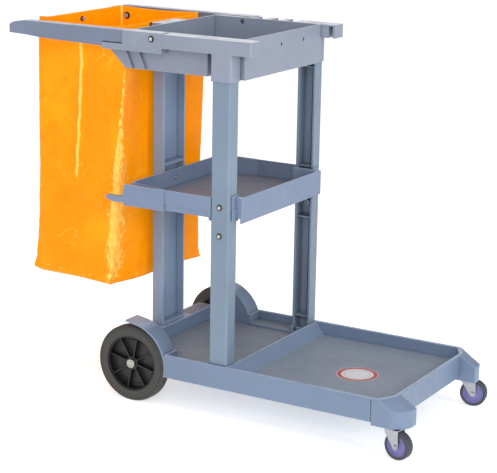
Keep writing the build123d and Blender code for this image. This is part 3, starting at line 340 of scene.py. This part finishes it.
# painted light: the rear upright is the posts' plastic, given a lighter tone to make up for the shade it
# stands in
UPRIGHT = plastic("upright_plastic", rgb(124, 142, 167))
BASE = plastic("base_plastic", rgb(104, 121, 146), (rgb(121, 130, 143), DECK_FLOOR),
               top_highlight=(rgb(158, 171, 190), DECK_RIM), round_r=0.004)
BLACK = plastic("black_plastic", rgb(15, 15, 16), grain=0.0002)
PEG = plastic("peg_plastic", rgb(128, 134, 150))
TYRE = rubber("tyre_rubber", rgb(56, 56, 53))
TREAD = rubber("caster_tread", rgb(54, 58, 66))
CORE = plastic("caster_core", rgb(108, 104, 160), grain=0.00008)
STEEL = metal("steel", rgb(170, 170, 167), 0.24, 0.40)
ZINC = metal("zinc_plate", rgb(164, 166, 170), 0.28, 0.45)
EYELET = metal("eyelet_metal", rgb(84, 84, 88), 0.35, 0.55)
VINYL = vinyl("vinyl")

low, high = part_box("platform_label")
LABEL = label("label_film", ((low + high) / 2)[:2], (high.x - low.x) / 2)

POST_SCREW_HEAD, ARM_SCREW_HEAD = 0.008, 0.0086  # radii
low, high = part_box("post_screws")
heights = (low.z + POST_SCREW_HEAD, high.z - POST_SCREW_HEAD)
POST_SCREW = screw_metal("post_screw", [((low.x + high.x) / 2, z) for z in heights], POST_SCREW_HEAD)
low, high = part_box("arm_screws")
ARM_SCREW = screw_metal("arm_screw", [((low.x + high.x) / 2, (low.z + high.z) / 2)], ARM_SCREW_HEAD)

FINISH = {
    "base": BASE, "platform_label": LABEL, "rear_upright": UPRIGHT, "middle_shelf": SHELF, "top_tray": TRAY,
    "bag_crossbar": STEEL, "bag_eyelets": EYELET, "bag_pegs": PEG, "rear_axle": STEEL,
    "post_screws": POST_SCREW, "arm_screws": ARM_SCREW, "upright_screws": STEEL,
}
for side in ("right", "left"):
    for kind, finish in (("front_post", POST), ("handle_arm", ARM), ("axle_spacer", STEEL),
                         ("axle_cap", STEEL), ("wheel_hub", BLACK), ("wheel_tyre", TYRE),
                         ("caster_stem", STEEL), ("caster_head", BLACK), ("caster_fork", ZINC),
                         ("caster_axle", STEEL), ("caster_nut", STEEL), ("caster_bushing", STEEL),
                         ("caster_core", CORE), ("caster_tread", TREAD)):
        FINISH[f"{kind}_{side}"] = finish
for name, finish in FINISH.items():
    NODES[name].data.materials.clear()
    NODES[name].data.materials.append(finish)


# ------------------------------------------------------------------ the hung bag
RIGHT, FRONT, LEFT, REAR = range(4)  # the bag's walls, in the order in which its outline walks them
REAR_RIGHT, FRONT_RIGHT, FRONT_LEFT, REAR_LEFT = range(4)  # the corner where each of them begins
RAGGED = {REAR_RIGHT: 0.35, FRONT_RIGHT: 1.0, FRONT_LEFT: 0.25, REAR_LEFT: 0.35}  # how crinkled each is
SIDES = (RIGHT, LEFT)

low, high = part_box("waste_bag")
TOP_Z, FLOOR_Z, HALF = high.z, low.z, high.y
SHOULDER_Z = 0.850  # where the front wall comes out under the tray
BEND = (TOP_Z - SHOULDER_Z) / (TOP_Z - FLOOR_Z)
RIM_MIDDLE, SHOULDER_MIDDLE, FOOT_MIDDLE = -0.281, -0.2806, -0.288  # X of the front wall behind the upright
UPRIGHT_HALF = 0.058  # half the width over which the upright holds the front wall back
VINYL_THICKNESS = 0.0009

WALL_STEPS, ARC_STEPS = (50, 66, 50, 66), 7  # mesh steps along each wall and round each corner
ROWS, SEAM_ROWS, FLOOR_RINGS = 140, 7, 14  # mesh rows down the walls, those in the seam, rings in the floor


def level(*corner_x):
    """Corners of the bag at one height, from the X of each, right rear first and left rear last."""
    return [Vector((x, y)) for x, y in zip(corner_x, (-HALF, -HALF, HALF, HALF))]


RIM = level(-0.5355, -0.281, -0.281, -0.5355)
SHOULDER = level(-0.5379, -0.263, -0.256, -0.5379)
FOOT = level(-0.558, -0.311, -0.271, -0.540)


def smooth(a, b, v):
    """0 up to a, 1 from b on, and an easy curve between them."""
    v = min(1.0, max(0.0, (v - a) / (b - a)))
    return v * v * (3 - 2 * v)


def bell(v, centre, width):
    return math.exp(-((v - centre) / width) ** 2)


def ridged(p, seed):
    """Sharp-crested noise, 0 to 1."""
    return 1.0 - abs(noise.noise(Vector((p[0], p[1], p[2] + seed)))) * 2.0


def rounded_outline(corners, radius):
    """Points of a four-sided outline with round corners.

    Each has its place, outward normal, wall, way along the wall from 0 to 1, and (nearest corner, gap to it).
    """
    points = []
    for wall, count in enumerate(WALL_STEPS):
        a, b = corners[wall], corners[(wall + 1) % 4]
        after = corners[(wall + 2) % 4]
        along = (b - a).normalized()
        turn = (after - b).normalized()
        out, out_next = Vector((along.y, -along.x)), Vector((turn.y, -turn.x))
        length = (b - a).length
        for i in range(count + 1):
            d = radius + (length - 2 * radius) * i / count
            near = (wall, d) if d < length / 2 else ((wall + 1) % 4, length - d)
            points.append((a + along * d, out, wall, d / length, near))
        centre = b - along * radius + turn * radius
        for i in range(1, ARC_STEPS):
            normal = out.slerp(out_next, i / ARC_STEPS)
            points.append((centre + normal * radius, normal, wall, 1.0, ((wall + 1) % 4, 0.0)))
    return points


def bag_outline(v):
    """Outline of the bag at v, which is 0 at its rim and 1 at its floor seam."""
    radius = 0.006 + 0.011 * smooth(0.10, 0.62, v) - 0.011 * smooth(0.80, 1.0, v)
    if v < BEND:
        corners = [a.lerp(b, smooth(0, BEND * 1.15, v)) for a, b in zip(RIM, SHOULDER)]
        behind = RIM_MIDDLE + (SHOULDER_MIDDLE - RIM_MIDDLE) * v / BEND
    else:
        share = (v - BEND) / (1 - BEND)
        corners = [a.lerp(b, share) for a, b in zip(SHOULDER, FOOT)]
        behind = SHOULDER_MIDDLE + (FOOT_MIDDLE - SHOULDER_MIDDLE) * share
    for p, out, wall, t, near in rounded_outline(corners, radius):
        if wall == FRONT and abs(p.y) < HALF - radius:
            p = Vector((behind + (p.x - behind) * smooth(UPRIGHT_HALF, HALF - radius, abs(p.y)), p.y))
        yield p, out, wall, t, near


def crumple(q, near, v):
    """Outward push of free vinyl: broad dents, finer ones, and sharp crinkles near the corners."""
    lower = smooth(0.35, 0.95, v)
    dents = noise.noise(Vector((q.x * 6, q.y * 6, q.z * 3.6 + 3.1)))
    finer = noise.noise(Vector((q.x * 15, q.y * 15, q.z * 8 + 7.7)))
    sharp = ridged(Vector((q.x * 34, q.y * 34, q.z * 22)), 1.3) - 0.75
    push = 0.0046 * dents + 0.0018 * finer * (0.4 + lower)
    return push + 0.0030 * sharp * (0.05 + near * (0.25 + 0.9 * lower))


def side_fold(u, v):
    """Upright fold down the middle of a side wall, with one kink near the rim: its strength, 0 to 1."""
    line = 0.514 - 0.016 * smooth(0.155, 0.185, v) + 0.003 * math.sin(v * 61.0) * smooth(0.12, 0.3, v)
    return bell(u, line, 0.019 + 0.004 * v) * smooth(0.01, 0.06, v) * (1 - smooth(0.55, 0.66, v))


def bag_height(v, wall, t, corner, gap):
    """Z of a point: the rim sags between its eyelets, and the foot rises towards the right rear corner."""
    if wall in SIDES:
        sag = 0.004 * math.sin(math.pi * t)
    elif wall == FRONT:
        sag = 0.0035 * abs(math.sin(2 * math.pi * t))
    else:
        sag = 0.0
    lift = 0.005 * bell(gap, 0, 0.03) if corner == REAR_RIGHT else 0.0
    z = TOP_Z + (FLOOR_Z - TOP_Z) * v - (sag - lift) * (1 - v) ** 3
    rise = 1.0 - t if wall == RIGHT else (t if wall == REAR else 0.0)
    rise *= 1.0 if wall == RIGHT or corner == REAR_RIGHT else 0.6
    return z + 0.014 * rise * smooth(0.5, 1.0, v)


def bag_push(place, v, wall, t, near_corner, fold):
    """How far a point stands out of its flat wall: fold, hollow middle, dents and crinkles."""
    belly = math.sin(math.pi * t) * math.sin(math.pi * min(1.0, v * 1.02))
    push = 0.0052 * fold - (0.002 if wall == FRONT else 0.0045) * belly
    if wall in SIDES:
        u = t if wall == RIGHT else 1 - t
        push -= 0.0022 * bell(u, 0.55, 0.05) * smooth(0.0, 0.1, v) * (1 - smooth(0.5, 0.9, v))
    free = smooth(0.0, 0.05, v) * (1 - smooth(0.985, 1.0, v))
    push += free * crumple(place, near_corner, v)
    return max(-0.016, min(0.0045, push))


def bag_highlight(v, wall, corner, gap, fold):
    """How much painted highlight a point gets, as (fold, crinkle), each 0 to 1."""
    spread = 0.010 + 0.026 * smooth(0.30, 0.68, v)
    spread *= 0.6 if wall == RIGHT and corner == FRONT_RIGHT else 1.4
    band = bell(gap, 0, spread) * RAGGED[corner] * smooth(0.04, 0.20, v)
    band *= (0.60 + 0.30 * smooth(0.30, 0.6, v)) * (1 - 0.4 * smooth(0.9, 1.0, v))
    hem = 0.34 * bell(v, 0.985, 0.012) + 0.25 * (1 - smooth(0.0, 0.012, v))
    pulled = 0.9 * bell(gap, 0, 0.007) * (1 - smooth(0.02, 0.22, v)) if corner == REAR_LEFT else 0.0
    return min(1.0, max(fold, pulled)), min(1.0, max(band, hem))


def join_rings(mesh, upper, lower):
    around = len(upper)
    for i in range(around):
        k = (i + 1) % around
        mesh.faces.new((upper[i], lower[i], lower[k], upper[k]))


def bag_walls(mesh):
    """The four walls, as rows of vertices from the rim to the floor seam."""
    fold_layer = mesh.verts.layers.float.new("fold")
    crinkle_layer = mesh.verts.layers.float.new("crinkle")
    rows = []
    for j in range(ROWS + 1):
        v = j / ROWS
        row = []
        for p, out, wall, t, (corner, gap) in bag_outline(v):
            fold = side_fold(t if wall == RIGHT else 1 - t, v) if wall in SIDES else 0.0
            z = bag_height(v, wall, t, corner, gap)
            near_corner = bell(gap, 0, 0.034) * (0.45 + 0.55 * RAGGED[corner])
            at = p + out * bag_push(Vector((p.x, p.y, z)), v, wall, t, near_corner, fold)
            vert = mesh.verts.new((at.x, at.y, z))
            # the fold and crinkle attributes hold painted highlight masks
            vert[fold_layer], vert[crinkle_layer] = bag_highlight(v, wall, corner, gap, fold)
            row.append(vert)
        rows.append(row)
    for upper, lower in zip(rows, rows[1:]):
        join_rings(mesh, upper, lower)
    return rows


def bag_floor(mesh, seam):
    """The floor, as rings that shrink to the middle a little above the seam. Returns the middle."""
    bottom = [vert.co.copy() for vert in seam]
    centre = sum(bottom, Vector()) / len(bottom)
    last = seam
    for step in range(1, FLOOR_RINGS):
        f = 1 - step / FLOOR_RINGS
        ring = []
        for co in bottom:
            p = centre.lerp(co, f)
            dent = noise.noise(Vector((p.x * 14, p.y * 14, 5.0)))
            z = FLOOR_Z + 0.004 * (1 - f) ** 0.5 + 0.003 * dent * (1 - f)
            ring.append(mesh.verts.new((p.x, p.y, z)))
        join_rings(mesh, last, ring)
        last = ring
    hub = mesh.verts.new((centre.x, centre.y, FLOOR_Z + 0.004))
    for i, vert in enumerate(last):
        mesh.faces.new((vert, hub, last[(i + 1) % len(last)]))
    return centre


def weld_seam(rows, centre):
    """Push the lowest rows outwards at the corners, into the pinched ears of the welded seam."""
    around = len(rows[0])
    for j in range(ROWS + 1 - SEAM_ROWS, ROWS + 1):
        reach = smooth(ROWS - SEAM_ROWS, ROWS, j)
        for i, vert in enumerate(rows[j]):
            outward = Vector((vert.co.x - centre.x, vert.co.y - centre.y, 0)).normalized()
            walked = 0
            for count in WALL_STEPS:
                walked += count + ARC_STEPS
                apart = abs(i - (walked - ARC_STEPS / 2))
                vert.co += outward * 0.005 * reach * bell(min(apart, around - apart), 0, 2.6)


def bag_mesh(name):
    """Open-topped vinyl bag that sags between its eyelets, creases and ends in a welded floor."""
    mesh = bmesh.new()
    rows = bag_walls(mesh)
    weld_seam(rows, bag_floor(mesh, rows[-1]))
    mesh.normal_update()
    data = bpy.data.meshes.new(name)
    mesh.to_mesh(data)
    mesh.free()
    for polygon in data.polygons:
        polygon.use_smooth = True
    obj = bpy.data.objects.new(name, data)
    scene.collection.objects.link(obj)
    return obj


bag = bag_mesh("vinyl_bag")
bag.data.materials.append(VINYL)
thick = bag.modifiers.new("thickness", "SOLIDIFY")
thick.thickness = VINYL_THICKNESS
thick.offset = -1.0
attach(bag, "frame")
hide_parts("waste_bag")


# ------------------------------------------------------------------ floor, lights, camera
LIGHT_TARGET = Vector((0, 0, 0.5))
SENSOR, LENS_SHARE = 36.0, 1675.4 / 497.0            # sensor width in mm, focal length in picture widths
CAMERA_PLACE = (2.14084, -3.65609, 1.50022)
CAMERA_ANGLES = (30.386, 14.272, 1.0088)             # azimuth, elevation and roll in degrees


def floor():
    t = Tree("floor_paint")
    at = t.place()
    base = t.mix(t.ramp(t.noise(at, 1.5, 4.0), 0.3, 0.7), (0.94, 0.94, 0.94, 1), (0.97, 0.97, 0.97, 1))
    material = t.finish(Base_Color=base, Roughness=0.85, Emission_Color=(1, 1, 1, 1), Emission_Strength=0.50)
    data = bpy.data.meshes.new("floor")
    reach = 40
    corners = [(-reach, -reach, 0), (reach, -reach, 0), (reach, reach, 0), (-reach, reach, 0)]
    data.from_pydata(corners, [], [(0, 1, 2, 3)])
    obj = bpy.data.objects.new("floor", data)
    data.materials.append(material)
    scene.collection.objects.link(obj)


def area_light(name, location, size, power):
    """White light that shines at the middle of the cart."""
    data = bpy.data.lights.new(name, "AREA")
    data.shape = "RECTANGLE"
    data.size, data.size_y = size
    data.energy = power
    obj = bpy.data.objects.new(name, data)
    obj.location = location
    obj.rotation_mode = "QUATERNION"
    obj.rotation_quaternion = (LIGHT_TARGET - Vector(location)).to_track_quat("-Z", "Y")
    scene.collection.objects.link(obj)


def camera():
    data = bpy.data.cameras.new("camera")
    data.sensor_width = SENSOR
    data.lens = LENS_SHARE * SENSOR
    data.clip_start, data.clip_end = 0.05, 200.0
    obj = bpy.data.objects.new("camera", data)
    az, el, roll = (math.radians(a) for a in CAMERA_ANGLES)
    back = Vector((math.sin(az) * math.cos(el), -math.cos(az) * math.cos(el), math.sin(el)))
    right = Vector((math.cos(az), math.sin(az), 0.0))
    up = back.cross(right)
    right, up = right * math.cos(roll) + up * math.sin(roll), up * math.cos(roll) - right * math.sin(roll)
    turn = Matrix((right, up, back)).transposed()
    obj.matrix_world = Matrix.Translation(CAMERA_PLACE) @ turn.to_4x4()
    scene.collection.objects.link(obj)
    scene.camera = obj


floor()
area_light("top", (0.3, -0.6, 3.6), (2.4, 2.4), 30)
area_light("front", (2.3, -4.3, 2.3), (2.5, 2.5), 112)
area_light("side", (4.2, -0.8, 2.0), (1.8, 1.8), 70)
world = bpy.data.worlds.new("studio")
world.use_nodes = True
background = world.node_tree.nodes["Background"]
background.inputs["Color"].default_value = (1, 1, 1, 1)
background.inputs["Strength"].default_value = 0.54
scene.world = world
scene.view_settings.view_transform = "Standard"
camera()
